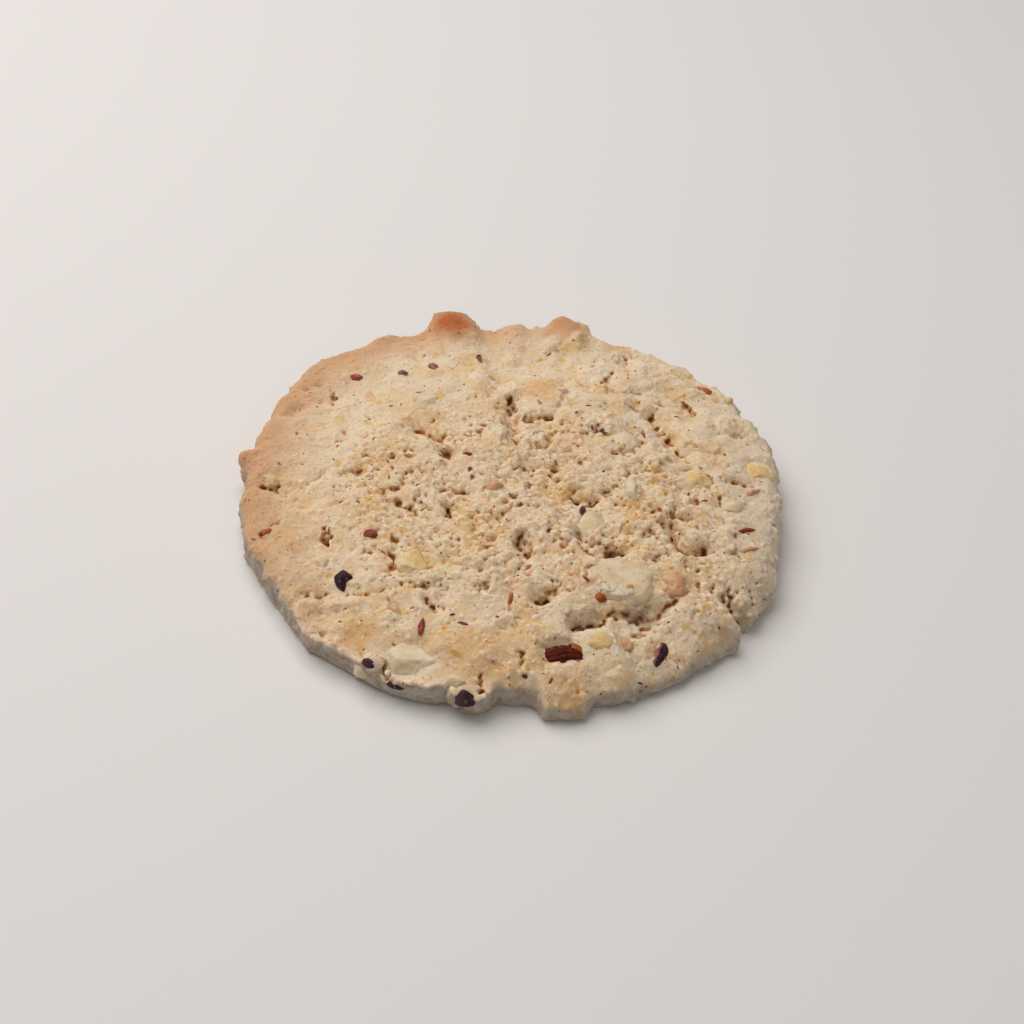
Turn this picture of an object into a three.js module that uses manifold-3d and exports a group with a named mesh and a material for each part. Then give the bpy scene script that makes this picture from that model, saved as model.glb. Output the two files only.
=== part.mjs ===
// A round home-baked nut cookie: a low domed disc of crumbly dough with a clumped and cracked top,
// a ragged rim with two browned knobs at the back, and chopped nuts standing a little proud of it.
// Millimetres, +Z up. The flat base lies on z = 0 and the origin is the centre of that base.
import * as THREE from 'three';
import { ImprovedNoise } from 'three/addons/math/ImprovedNoise.js';
import { mergeVertices } from 'three/addons/utils/BufferGeometryUtils.js';
import Module from 'manifold-3d';

const { clamp, degToRad, lerp, radToDeg, seededRandom, smoothstep } = THREE.MathUtils;

// Driving sizes of the dough
const radius = 35.1; // mean radius of the outline
const ovalness = 0.5; // a little deeper than it is wide
const backReach = 0.35; // a little further to the back than to the front
const rimHeight = 5.9; // where the top meets the rounded edge
const rimHeightChange = 1.1; // higher at the back, lower at the front
const crownHeight = 8.6; // middle of the top
const domePower = 2.6; // a flat middle that falls off towards the rim
const edgeRound = 2.4; // width of the rounded edge
const edgeRoundChange = 0.6; // wider at the front, narrower at the back
const widestHeight = 3.6; // height of the widest part of the wall
const baseTuck = 0.4; // how far the wall draws in below its widest part
const crispLip = { angle: 249, half: 30, narrower: 2, higher: 0.6, tuck: 0.4 }; // overhangs, front left
const thinEdge = { angle: 308, half: 44, wider: 4.6, lower: 2.1 }; // slopes down to it, front right
const outlineWobble = 0.35;
const wallRoughness = 0.35;
const baseHub = [4, 3]; // the base's triangles meet beside its centre, so the centre is on a face

// Relief of the top: soft swells, clumps of dough at different heights, and fine crumb
const swellLength = 13;
const swellHeight = 0.45;
const clumpSize = 5.2;
const clumpHeight = 0.36;
const clumpStep = 0.3; // share of a clump over which it steps down to the next
const clumpWarp = 1.5;
const seamDepth = 0.7; // deepest seam between two clumps
const seamWidth = 0.22; // as a share of a clump
const seamPatch = 8; // length over which seams open and close
const crumbLength = 2.6;
const crumbHeight = 0.2;

// Fineness of the mesh: rings of six more points each, then rows down the wall
const topRings = 32;
const arcRows = 5;
const outerPoints = 6 * topRings;

// Lumps and dips of the rim: angle and half width in degrees, reach outwards, rise of the edge, and
// the share of the half width that is flat where it isn't half
const rimLumps = [
  { angle: 107.6, half: 6, reach: 1.7, rise: 1.1, flat: 0.45 }, // browned knob, back left
  { angle: 80.4, half: 5.4, reach: 1.7, rise: 1.4, flat: 0.6 }, // browned knob, back right
  { angle: 94.5, half: 3.5, reach: 0.1, rise: 0.4 },
  { angle: 99, half: 4, reach: -1.2, rise: -0.6 },
  { angle: 71.5, half: 4.5, reach: -1.3, rise: 0 },
  { angle: 60, half: 4.5, reach: -0.4, rise: 0 },
  { angle: 40, half: 6, reach: 1, rise: 0.2 },
  { angle: 35, half: 30, reach: 1.2, rise: 0 },
  { angle: 18, half: 7, reach: 0.6, rise: 0 },
  { angle: 116, half: 3.6, reach: -1.1, rise: 0 },
  { angle: 123.5, half: 4, reach: 0.8, rise: 0 },
  { angle: 132, half: 4, reach: -0.6, rise: 0 },
  { angle: 134, half: 32, reach: 1.2, rise: 0 },
  { angle: 141.5, half: 5, reach: 1.1, rise: 0.2 },
  { angle: 175.8, half: 2.6, reach: 1.3, rise: -0.3 }, // thin nib on the left
  { angle: 182, half: 4.5, reach: -0.4, rise: 0 },
  { angle: 190, half: 20, reach: 0.4, rise: 0 },
  { angle: 243, half: 24, reach: 0.9, rise: 0 },
  { angle: 261, half: 3, reach: -0.6, rise: 0 },
  { angle: 265, half: 3, reach: 0.7, rise: 0 },
  { angle: 273.5, half: 6, reach: -1.7, rise: -0.3 },
  { angle: 280.5, half: 3, reach: 0.9, rise: 0 },
  { angle: 285, half: 4, reach: 0.9, rise: 0 },
  { angle: 290, half: 3, reach: -0.6, rise: 0 },
  { angle: 323.4, half: 3, reach: 1, rise: 0 },
  { angle: 327.2, half: 2.6, reach: -1.7, rise: 0 }, // sharp notch, front right
  { angle: 335, half: 9, reach: 0.8, rise: 0 },
];

// Cracks and hollows between the clumps: a straight run, its half width and its depth
const cracks = [
  { from: [-1.3, 15.4], to: [-0.9, 10.5], half: 1.2, depth: 1.5 },
  { from: [-0.9, 10.5], to: [-0.5, 6.2], half: 1.1, depth: 1.2 },
  { from: [0.8, 11], to: [3.8, 12], half: 1, depth: 0.8 },
  { from: [-13.5, 8.4], to: [-10.2, 6], half: 1, depth: 0.9 },
  { from: [-9.6, 4.4], to: [-8.8, 2.6], half: 1.2, depth: 1.2 },
  { from: [-14.2, -6.9], to: [-12, -8.8], half: 1, depth: 0.8 },
  { from: [-8, -7.6], to: [-7.7, -9], half: 1.1, depth: 1.1 },
  { from: [7.8, -2.8], to: [10, -3.6], half: 1.1, depth: 1.2 },
  { from: [8.9, -10.8], to: [10.2, -13.4], half: 1.1, depth: 1.2 },
  { from: [10.2, -13.4], to: [13.6, -12.2], half: 1.1, depth: 1.3 },
  { from: [20.3, -7.4], to: [21.8, -10.4], half: 1.2, depth: 1.6 },
  { from: [21.8, -10.4], to: [24.6, -9.6], half: 1.2, depth: 1.5 },
  { from: [1.2, -12.2], to: [2.2, -15.2], half: 1, depth: 1 },
  { from: [4, -21.8], to: [5.4, -21.2], half: 1.1, depth: 1.3 },
  { from: [8.4, -24.8], to: [11.2, -23.6], half: 1.1, depth: 1.5 },
  { from: [13.5, -23.9], to: [20.6, -20.2], half: 1.1, depth: 1 },
  { from: [-9.4, -23.2], to: [-8, -24.2], half: 1, depth: 1 },
  { from: [-14.2, -16], to: [-14, -19.6], half: 1.1, depth: 0.8 },
  { from: [-24, -22.4], to: [-17.5, -22.2], half: 1, depth: 0.8 },
  { from: [5, -30.4], to: [9.2, -29], half: 2, depth: 1.5 }, // pocket of the large brown nut
  { from: [2.6, -31.2], to: [3.4, -33.6], half: 1.1, depth: 1.1 },
  { from: [17.2, 16], to: [19.9, 11.8], half: 1.2, depth: 1.2 },
  { from: [19.9, 11.8], to: [21.5, 8.8], half: 1.1, depth: 1.3 },
  { from: [14.2, 29.5], to: [13.6, 26.6], half: 1, depth: 0.8 },
];

// Chopped nuts on the top: place, half length, half width, half height, turn in degrees, and how
// much of the half height stands above the dough
const topNuts = [
  { at: [13.6, -17.4], size: [4.5, 3.5, 1.9], turn: -8, proud: 0.5 }, // half a kernel
  { at: [20.4, -16.9], size: [1.9, 2.2, 1.4], turn: 10, proud: 0.5 },
  { at: [7.2, -28.9], size: [2.8, 1.6, 1.5], turn: 16, proud: 0.5 },
  { at: [18.5, -26], size: [2.4, 1.2, 1.2], turn: 60, proud: 0.4 },
  { at: [9.7, -7.8], size: [2.2, 2.9, 1.3], turn: -10, proud: 0.4 },
  { at: [-19.6, -20.4], size: [1.8, 1.1, 1.1], turn: -65, proud: 0.5 },
  { at: [-17.1, -12.7], size: [1.3, 1.1, 0.9], turn: 0, proud: 0.4 },
  { at: [-10.1, -30.8], size: [3.3, 2.6, 1.9], turn: 10, proud: 0.3 }, // overhangs the front edge
  { at: [31.6, 7.6], size: [2.2, 2.4, 1.4], turn: 0, proud: 0.3 },
  { at: [-12.8, 13], size: [2.4, 2.1, 1.2], turn: 20, proud: 0.4 },
  { at: [13.4, 8.9], size: [2.8, 2.1, 1.3], turn: -20, proud: 0.4 },
  { at: [14.8, -1.8], size: [1.3, 2, 1], turn: 0, proud: 0.5 },
  { at: [-11.5, -17.8], size: [1.6, 2.1, 1.2], turn: 15, proud: 0.5 },
  { at: [-22.6, -17.4], size: [1.5, 1.7, 1.1], turn: 0, proud: 0.5 },
  { at: [-13.3, -25.4], size: [1.6, 0.9, 0.9], turn: -35, proud: 0.3 },
  { at: [-2.6, -3.4], size: [1.3, 0.9, 0.9], turn: 15, proud: 0.4 },
  { at: [-22.5, 18.4], size: [1.3, 1.1, 0.9], turn: 0, proud: 0.5 },
  { at: [11.7, -26.9], size: [1.5, 1.3, 1], turn: 0, proud: 0.6 },
  { at: [23.4, 3.5], size: [2, 1.2, 1], turn: -10, proud: 0.4 },
  { at: [27.9, -0.8], size: [1.7, 1.3, 1], turn: 30, proud: 0.3 },
];

// Nuts that show in the wall: angle in degrees, height, half length, half height, half depth
const wallNuts = [
  { angle: 264, height: 3.2, size: [1.9, 1.6, 1.2] },
  { angle: 250.5, height: 2.6, size: [1.5, 0.8, 0.9] },
  { angle: 245, height: 4.4, size: [1.3, 1, 1] },
  { angle: 243, height: 2.2, size: [1.2, 1, 0.9] },
];
const nutUnevenness = 0.14;
const nutDetail = 1;

const noise = new ImprovedNoise();

// A repeatable draw from 0 to 1 for one cell of a grid.
function cellDraw(column, row, kind) {
  return seededRandom(column * 7919 + row * 104729 + kind * 611953);
}

// 1 over the flat middle of a lump, falling smoothly to 0 at its half width.
function lumpShare(lump, angle) {
  const away = Math.abs(((angle - lump.angle + 540) % 360) - 180);
  return 1 - smoothstep(away, (lump.flat ?? 0.5) * lump.half, lump.half);
}

// Radius of the cookie's widest outline at an angle in degrees.
function outlineRadius(angle) {
  const turn = degToRad(angle);
  const wobble = noise.noise(5 * Math.cos(turn), 5 * Math.sin(turn), 0.5);
  const lumps = rimLumps.reduce((sum, lump) => sum + lump.reach * lumpShare(lump, angle), 0);
  const oval = backReach * Math.sin(turn) - ovalness * Math.cos(2 * turn);
  return radius + oval + lumps + 2 * outlineWobble * wobble;
}

// Width of the rounded edge, least along the crisp lip and most above the thin edge.
function edgeWidth(angle) {
  const soft = edgeRound - edgeRoundChange * Math.sin(degToRad(angle));
  const wider = thinEdge.wider * lumpShare(thinEdge, angle);
  return soft + wider - crispLip.narrower * lumpShare(crispLip, angle);
}

// Height of the widest part of the wall: just under the lip where that overhangs, low at the thin edge.
function wallBulge(angle) {
  const raised = crispLip.higher * lumpShare(crispLip, angle);
  return widestHeight + raised - thinEdge.lower * lumpShare(thinEdge, angle);
}

// Clumps of dough: each warped cell sits at its own height, with a step to the next one, and in
// some patches a seam stays open between the two.
function clumpLift(x, y) {
  const column = (x + clumpWarp * noise.noise(x / 4, y / 4, 3.3)) / clumpSize;
  const row = (y + clumpWarp * noise.noise(x / 4, y / 4, 7.7)) / clumpSize;
  let near = { gap: Infinity, lift: 0 };
  let next = { gap: Infinity, lift: 0 };
  for (let i = Math.floor(column) - 1; i <= Math.floor(column) + 1; i += 1) {
    for (let j = Math.floor(row) - 1; j <= Math.floor(row) + 1; j += 1) {
      const gap = Math.hypot(i + cellDraw(i, j, 1) - column, j + cellDraw(i, j, 2) - row);
      const cell = { gap, lift: 2 * cellDraw(i, j, 3) - 1 };
      if (gap < near.gap) {
        next = near;
        near = cell;
      } else if (gap < next.gap) {
        next = cell;
      }
    }
  }
  const inside = smoothstep(next.gap - near.gap, 0, clumpStep);
  const lift = clumpHeight * lerp((near.lift + next.lift) / 2, near.lift, inside);
  const open = smoothstep(noise.noise(x / seamPatch, y / seamPatch, 4.9), -0.1, 0.3);
  return lift - seamDepth * open * (1 - smoothstep(next.gap - near.gap, 0, seamWidth));
}

// Depth of the cracks at a place: each is a rounded groove that tapers past its two ends.
function crackDepth(x, y) {
  let deepest = 0;
  for (const { from, to, half, depth } of cracks) {
    const along = [to[0] - from[0], to[1] - from[1]];
    const share = ((x - from[0]) * along[0] + (y - from[1]) * along[1]) / (along[0] ** 2 + along[1] ** 2);
    const t = clamp(share, 0, 1);
    const away = Math.hypot(x - from[0] - t * along[0], y - from[1] - t * along[1]);
    deepest = Math.max(deepest, depth * (1 - smoothstep(away, 0.3 * half, 1.3 * half)));
  }
  return deepest;
}

// Height of the dough above the base at a place in plan, out to the widest outline.
function doughHeight(x, y) {
  const angle = (radToDeg(Math.atan2(y, x)) + 360) % 360;
  const share = Math.hypot(x, y) / (radius - edgeRound);
  const rise = rimLumps.reduce((sum, lump) => sum + lump.rise * lumpShare(lump, angle), 0);
  const brink = rimHeight + rimHeightChange * Math.sin(degToRad(angle));
  const dome = lerp(crownHeight, brink, share ** domePower) + rise * smoothstep(share, 0.84, 0.97);
  const swell = swellHeight * noise.noise(x / swellLength, y / swellLength, 1.5);
  const crumb = crumbHeight * noise.noise(x / crumbLength, y / crumbLength, 9.1);
  const top = dome + 2 * swell + clumpLift(x, y) + 2 * crumb - crackDepth(x, y);
  const outside = Math.hypot(x, y) - outlineRadius(angle) + edgeWidth(angle);
  const over = clamp(outside / edgeWidth(angle), 0, 1);
  return lerp(wallBulge(angle), top, Math.sqrt(1 - over ** 2));
}

// The rings of the top, then the rows of the rounded edge and the base's own outline.
function doughPoints() {
  const points = [[0, 0, doughHeight(0, 0)]];
  for (let ring = 1; ring <= topRings; ring += 1) {
    for (let k = 0; k < 6 * ring; k += 1) {
      const angle = (360 * k) / (6 * ring);
      const reach = (ring / topRings) * (outlineRadius(angle) - edgeWidth(angle));
      const x = reach * Math.cos(degToRad(angle));
      const y = reach * Math.sin(degToRad(angle));
      points.push([x, y, doughHeight(x, y)]);
    }
  }
  for (let row = 1; row <= arcRows + 1; row += 1) {
    for (let k = 0; k < outerPoints; k += 1) {
      points.push(wallPoint((360 * k) / outerPoints, row));
    }
  }
  points.push([...baseHub, 0]);
  return points;
}

// A point of the wall: rows 1 to arcRows go round the edge to the widest part, the last is the base.
function wallPoint(angle, row) {
  const direction = [Math.cos(degToRad(angle)), Math.sin(degToRad(angle))];
  const widest = outlineRadius(angle);
  if (row > arcRows) {
    const foot = widest - baseTuck - crispLip.tuck * lumpShare(crispLip, angle);
    return [foot * direction[0], foot * direction[1], 0];
  }
  const bend = degToRad((90 * row) / arcRows);
  const inner = widest - edgeWidth(angle);
  const brink = doughHeight(inner * direction[0], inner * direction[1]);
  const height = lerp(wallBulge(angle), brink, Math.cos(bend));
  const reach = inner + edgeWidth(angle) * Math.sin(bend);
  const [x, y] = direction.map((share) => reach * share);
  const rough = 2 * wallRoughness * noise.noise(x / crumbLength, y / crumbLength, height / crumbLength);
  return [x + rough * direction[0], y + rough * direction[1], height];
}

// Index of the first point of a ring: 1, 7, 19 and so on.
function ringStart(ring) {
  return ring === 0 ? 0 : 1 + 3 * ring * (ring - 1);
}

// Triangles between one ring and the next, six equal sectors each.
function ringTriangles(ring) {
  const triangles = [];
  const inner = (k) => ringStart(ring - 1) + (ring === 1 ? 0 : k % (6 * (ring - 1)));
  const outer = (k) => ringStart(ring) + (k % (6 * ring));
  for (let sector = 0; sector < 6; sector += 1) {
    for (let step = 0; step < ring; step += 1) {
      const a = sector * ring + step;
      const b = sector * (ring - 1) + step;
      triangles.push(inner(b), outer(a), outer(a + 1));
      if (step < ring - 1) {
        triangles.push(inner(b), outer(a + 1), inner(b + 1));
      }
    }
  }
  return triangles;
}

// The bare dough as one closed geometry.
function doughGeometry() {
  const points = doughPoints();
  const triangles = [];
  for (let ring = 1; ring <= topRings; ring += 1) {
    triangles.push(...ringTriangles(ring));
  }
  const edge = ringStart(topRings);
  for (let row = 0; row <= arcRows; row += 1) {
    for (let k = 0; k < outerPoints; k += 1) {
      const upper = edge + row * outerPoints;
      const lower = upper + outerPoints;
      const next = (k + 1) % outerPoints;
      triangles.push(upper + k, lower + k, lower + next);
      triangles.push(upper + k, lower + next, upper + next);
    }
  }
  const hub = points.length - 1;
  const foot = hub - outerPoints;
  for (let k = 0; k < outerPoints; k += 1) {
    triangles.push(hub, foot + ((k + 1) % outerPoints), foot + k);
  }
  const geometry = new THREE.BufferGeometry();
  geometry.setAttribute('position', new THREE.Float32BufferAttribute(points.flat(), 3));
  geometry.setIndex(triangles);
  return geometry;
}

// One chopped nut: a rough, few-sided pebble of the given half sizes.
function nutGeometry(size, seed) {
  let geometry = new THREE.IcosahedronGeometry(1, nutDetail);
  geometry.deleteAttribute('normal');
  geometry.deleteAttribute('uv');
  geometry = mergeVertices(geometry);
  const place = geometry.getAttribute('position');
  for (let k = 0; k < place.count; k += 1) {
    const uneven = 1 + nutUnevenness * (2 * cellDraw(k, seed, 4) - 1);
    place.setXYZ(k, place.getX(k) * uneven, place.getY(k) * uneven, place.getZ(k) * uneven);
  }
  return geometry.scale(...size);
}

// A nut on the top, sunk so that only its stated share stands proud.
function topNut({ at, size, turn, proud }, seed) {
  const height = doughHeight(...at) + (proud - 1) * size[2];
  return nutGeometry(size, seed).rotateZ(degToRad(turn)).translate(...at, height);
}

// A nut that shows in the wall, half out of it.
function wallNut({ angle, height, size }, seed) {
  const turn = degToRad(angle);
  const reach = outlineRadius(angle) - 0.6 * size[2];
  const nut = nutGeometry([size[2], size[0], size[1]], seed).rotateZ(turn);
  return nut.translate(reach * Math.cos(turn), reach * Math.sin(turn), height);
}

const wasm = await Module();
wasm.setup();

function toSolid(geometry) {
  const vertProperties = Float32Array.from(geometry.getAttribute('position').array);
  const triVerts = Uint32Array.from(geometry.getIndex().array);
  return new wasm.Manifold(new wasm.Mesh({ numProp: 3, vertProperties, triVerts }));
}

function toGeometry(solid) {
  const { numProp, vertProperties, triVerts } = solid.getMesh();
  const geometry = new THREE.BufferGeometry();
  geometry.setAttribute('position', new THREE.Float32BufferAttribute(vertProperties, numProp));
  geometry.setIndex(Array.from(triVerts));
  geometry.computeVertexNormals();
  return geometry;
}

// The dough with every nut fused on. Its largest body is kept, so that no scrap or sealed gap stays.
function cookieGeometry() {
  const nuts = [...topNuts.map(topNut), ...wallNuts.map((nut, k) => wallNut(nut, topNuts.length + k))];
  const whole = nuts.reduce((solid, nut) => solid.add(toSolid(nut)), toSolid(doughGeometry()));
  const bodies = whole.decompose();
  const largest = bodies.reduce((best, body) => (body.volume() > best.volume() ? body : best));
  return toGeometry(largest);
}

const bakedDough = new THREE.MeshStandardMaterial({ color: 0xcfaf8a, roughness: 0.85, metalness: 0 });
const cookie = new THREE.Mesh(cookieGeometry(), bakedDough);
cookie.name = 'cookie';

const part = new THREE.Group();
part.add(cookie);

export default part;
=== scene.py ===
# %% [markdown]
# # A home-baked nut cookie
# The solid gives the cookie its true size, outline and main lumps. This lesson dresses it: the dough gets
# its crumb, cracks and pores, the chopped nuts become pieces with skin and cut faces, and every surface
# gets a baked finish. Blender works in metres, and sizes here are written in millimetres times MM.

# %% Load the solid and keep its box
import math
import random

import bpy
import numpy as np
from mathutils import Matrix, Vector, noise


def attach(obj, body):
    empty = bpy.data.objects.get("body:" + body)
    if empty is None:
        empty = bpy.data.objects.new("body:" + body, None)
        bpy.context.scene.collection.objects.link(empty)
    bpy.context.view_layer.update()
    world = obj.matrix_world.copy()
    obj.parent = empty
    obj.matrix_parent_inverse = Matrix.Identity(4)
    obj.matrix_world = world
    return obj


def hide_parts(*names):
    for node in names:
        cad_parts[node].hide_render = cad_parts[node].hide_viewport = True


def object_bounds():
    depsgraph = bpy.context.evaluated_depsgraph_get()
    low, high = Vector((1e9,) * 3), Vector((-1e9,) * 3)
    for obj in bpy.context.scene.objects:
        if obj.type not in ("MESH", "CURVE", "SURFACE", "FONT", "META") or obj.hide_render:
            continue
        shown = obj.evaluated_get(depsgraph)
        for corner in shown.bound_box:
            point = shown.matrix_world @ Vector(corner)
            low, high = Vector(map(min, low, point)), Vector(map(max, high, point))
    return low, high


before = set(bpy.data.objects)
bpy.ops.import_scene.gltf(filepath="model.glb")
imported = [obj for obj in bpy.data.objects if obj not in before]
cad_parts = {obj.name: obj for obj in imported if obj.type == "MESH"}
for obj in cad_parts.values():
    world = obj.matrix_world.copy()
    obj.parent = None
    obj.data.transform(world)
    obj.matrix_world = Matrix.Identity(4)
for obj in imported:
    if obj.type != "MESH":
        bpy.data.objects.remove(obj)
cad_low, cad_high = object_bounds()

MM = 0.001
cookie_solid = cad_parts["cookie"]
print("solid box in mm:", [round(v / MM, 1) for v in (cad_high - cad_low)])

# %% [markdown]
# ## Camera
# The view is from about 41 degrees above the table and a forearm's length away, with the camera rolled a
# little so that the right side of the cookie sits lower. The camera looks slightly above the middle of the
# base, which puts the cookie where it should be in a square picture without any lens shift.

# %% Place the camera
VIEW_ELEVATION = math.radians(40.6)
VIEW_ROLL = math.radians(4.88)
VIEW_DISTANCE = 260 * MM
FOCAL_LENGTH = 70.16
AIM_RISE = 1.15 * MM

towards_camera = Vector((0, -math.cos(VIEW_ELEVATION), math.sin(VIEW_ELEVATION)))
level_up = Vector((0, math.sin(VIEW_ELEVATION), math.cos(VIEW_ELEVATION)))
picture_right = Vector((math.cos(VIEW_ROLL), 0, 0)) + level_up * math.sin(VIEW_ROLL)
picture_up = level_up * math.cos(VIEW_ROLL) - Vector((math.sin(VIEW_ROLL), 0, 0))

bpy.ops.object.select_all(action="DESELECT")
bpy.ops.object.camera_add()
camera = bpy.context.object
camera.name = "camera"
camera_turn = Matrix((picture_right, picture_up, towards_camera)).transposed().to_4x4()
camera_place = towards_camera * VIEW_DISTANCE + picture_up * AIM_RISE
camera.matrix_world = Matrix.Translation(camera_place) @ camera_turn
camera.data.lens = FOCAL_LENGTH
camera.data.clip_start = 10 * MM
bpy.context.scene.camera = camera
print("camera at", [round(v / MM) for v in camera_place], "mm")

# %% [markdown]
# ## Where the nuts sit
# Coarsely chopped peanuts are baked into the dough: cream kernels that have lost their skin, and pieces that
# still carry red-brown, pink or dark purple skin. The large ones stand where the solid has them, so their
# height is found by a ray on to the solid. Each row gives the skin, the place in plan, half length, half
# width, half height, turn, and how much of the nut is bare of dough. Knife cuts are given where they show, as
# a direction and a distance on a round nut of radius one. The other nuts get seeded cuts.

# %% List the nuts of the solid
BIG_CUTS = [(0, -0.3, 1, 0.7), (0.1, -1, 0.2, 0.9), (1, 0, 0.3, 0.9)]
FRONT_CUTS = [(-0.1, -1, 0.5, 0.66), (-1, -0.3, 0.3, 0.8), (0.1, 0.15, 1, 0.74), (1, 0.6, 0.3, 0.82)]
LUMP_CUTS = [(0.1, -0.3, 1, 0.75), (1, 0.2, 0.3, 0.7), (-0.6, 0.8, 0.4, 0.7), (-0.4, -0.9, 0.3, 0.75)]
TOP_NUTS = [
    ("cream", 13.6, -17.4, 4.9, 3.8, 1.9, -8, 0.72, BIG_CUTS),
    ("cream", -10.1, -30.8, 3.9, 2.9, 1.9, 10, 0.9, FRONT_CUTS),
    ("yellow", 31.6, 7.6, 2.4, 2.4, 1.4, 0, 1.0, [(0.2, -1, 0.4, 0.8), (-1, 0, 0.5, 0.85)]),
    ("cream", -12.8, 13.0, 2.4, 2.1, 1.2, 20, 0.7, []),
    ("cream", 13.4, 8.9, 2.8, 2.1, 1.3, -20, 0.65, []),
    ("cream", 14.8, -1.8, 1.3, 2.0, 1.0, 0, 0.7, []),
    ("yellow", -11.5, -17.8, 2.1, 2.3, 1.2, 15, 0.8, LUMP_CUTS),
    ("cream", -22.6, -17.4, 1.5, 1.7, 1.1, 0, 0.7, []),
    ("yellow", 11.7, -26.9, 1.6, 1.4, 1.0, 0, 0.85, [(0.3, -0.4, 1, 0.85), (-1, 0.2, 0.4, 0.8)]),
    ("yellow", 23.4, 3.5, 2.0, 1.2, 1.0, -10, 0.75, []),
    ("cream", 27.9, -0.8, 1.7, 1.3, 1.0, 30, 0.75, []),
    ("cream", 9.7, -7.8, 2.2, 2.9, 1.3, -10, 0.3, []),
    ("pink", 20.4, -16.9, 1.9, 2.2, 1.4, 10, 0.75, []),
    ("brown", 7.2, -28.9, 2.9, 1.7, 1.5, 16, 1.15, [(1, 0.1, 0, 0.8), (-1, -0.2, 0, 0.75)]),
    ("red", -17.1, -12.7, 1.3, 1.1, 0.9, 0, 0.9, []),
    ("pink", -13.1, -24.6, 1.6, 0.9, 0.9, -35, 0.9, []),
    ("pink", -2.6, -3.4, 1.3, 0.9, 0.9, 15, 0.9, []),
    ("red", -22.5, 18.4, 1.3, 1.1, 0.9, 0, 0.8, []),
    ("purple", 18.5, -26.0, 2.4, 1.4, 1.2, 60, 0.8, [(-0.5, 0.9, 0.6, 0.3), (-1, 0, 0.2, 0.8)]),
    ("dark", -19.6, -20.4, 1.8, 1.2, 1.1, -65, 0.95, [(0.9, 0.3, 0.7, 0.5), (-1, -0.4, 0.3, 0.8)]),
]
# Nuts in the front wall: skin, angle round the cookie, height, half length, half height and depth.
WALL_NUTS = [
    ("dark", 264, 3.2, 1.6, 1.2, 1.1),
    ("dark", 250.5, 2.6, 1.3, 0.6, 0.8),
    ("dark", 245, 4.4, 1.0, 0.6, 0.8),
    ("cream", 243, 2.2, 1.4, 1.0, 0.9),
]
WALL_BARE = 0.95
# A nut's centre lies this share of its height or depth below the surface, and its bare side faces one axis.
SEAT_SHARE = 0.95
OUTWARD, UPWARD = 0, 2
CHOPPING = random.Random(7)


def seeded_cuts():
    """Five knife cuts round the nut, most of them sideways, so that skin stays on the top."""
    cuts = []
    for k in range(5):
        angle = 2 * math.pi * (k + CHOPPING.random()) / 5
        tilt = CHOPPING.uniform(-0.2, 0.9)
        cuts.append((math.cos(angle), math.sin(angle), tilt, CHOPPING.uniform(0.66, 0.9)))
    return cuts


def top_seat(skin, x, y, length, width, height, angle, bare, cuts):
    """A nut on the top: its centre lies its own height below the solid's surface."""
    above = Vector((x * MM, y * MM, 2 * cad_high.z))
    _, place, _, _ = cookie_solid.ray_cast(above, Vector((0, 0, -1)))
    centre = (x, y, place.z / MM - SEAT_SHARE * height)
    return skin, centre, (length, width, height), angle, cuts or seeded_cuts(), bare, UPWARD


def wall_seat(skin, angle, rise, length, height, depth):
    """A nut in the wall: its centre lies its own depth inside the solid's surface."""
    outward = Vector((math.cos(math.radians(angle)), math.sin(math.radians(angle)), 0))
    outside = outward * 2 * cad_high.x + Vector((0, 0, rise * MM))
    _, place, _, _ = cookie_solid.ray_cast(outside, -outward)
    centre = place / MM - outward * SEAT_SHARE * depth
    return skin, tuple(centre), (depth, length, height), angle, seeded_cuts(), WALL_BARE, OUTWARD


seats = [top_seat(*row) for row in TOP_NUTS] + [wall_seat(*row) for row in WALL_NUTS]
print(len(seats), "nuts, the highest centre", round(max(seat[1][2] for seat in seats), 1), "mm up")

# %% [markdown]
# ## Working by hand, in code
# An operator acts on whatever is selected, so each step first puts down everything it doesn't need. A
# modifier is added, set and applied at once, as one would click it.


# %% Small helpers for selecting and for modifiers
def take_up(piece):
    """Select one object alone and make it the active one."""
    bpy.ops.object.select_all(action="DESELECT")
    piece.select_set(True)
    bpy.context.view_layer.objects.active = piece


def apply_modifier(piece, kind, **settings):
    """Add a modifier, give it its settings and apply it to the mesh."""
    take_up(piece)
    modifier = piece.modifiers.new(kind.lower(), kind)
    for name, value in settings.items():
        setattr(modifier, name, value)
    bpy.ops.object.modifier_apply(modifier=modifier.name)


# %% [markdown]
# ## The dough: a finer skin over the solid
# The solid's mesh is about a millimetre coarse. A copy of it is merged, remeshed to even quads, and then
# shaped as with a sculpting brush. Brushes need a window, so each stroke here is a function of place that
# moves the points: seats drawn in under the nuts, cracks opened, seams left between clumps of dough.

# %% Copy the solid and remesh it
FIRST_VOXEL = 0.22 * MM
SECOND_VOXEL = 0.15 * MM

crumb = bpy.data.objects.new("crumb", cookie_solid.data.copy())
bpy.context.scene.collection.objects.link(crumb)
crumb.data.materials.clear()
take_up(crumb)
bpy.ops.object.mode_set(mode="EDIT")
bpy.ops.mesh.select_all(action="SELECT")
bpy.ops.mesh.remove_doubles(threshold=0.001 * MM)
bpy.ops.object.mode_set(mode="OBJECT")
apply_modifier(crumb, "REMESH", mode="VOXEL", voxel_size=FIRST_VOXEL)
apply_modifier(crumb, "SMOOTH", factor=0.5, iterations=8)
print("remeshed dough:", len(crumb.data.vertices), "points")


# %% Read and write a mesh as arrays, in millimetres
def mesh_points(piece):
    """The points and their normals."""
    count = len(piece.data.vertices)
    points = np.empty(3 * count)
    normals = np.empty(3 * count)
    piece.data.vertices.foreach_get("co", points)
    piece.data.vertices.foreach_get("normal", normals)
    return points.reshape(-1, 3) / MM, normals.reshape(-1, 3)


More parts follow.
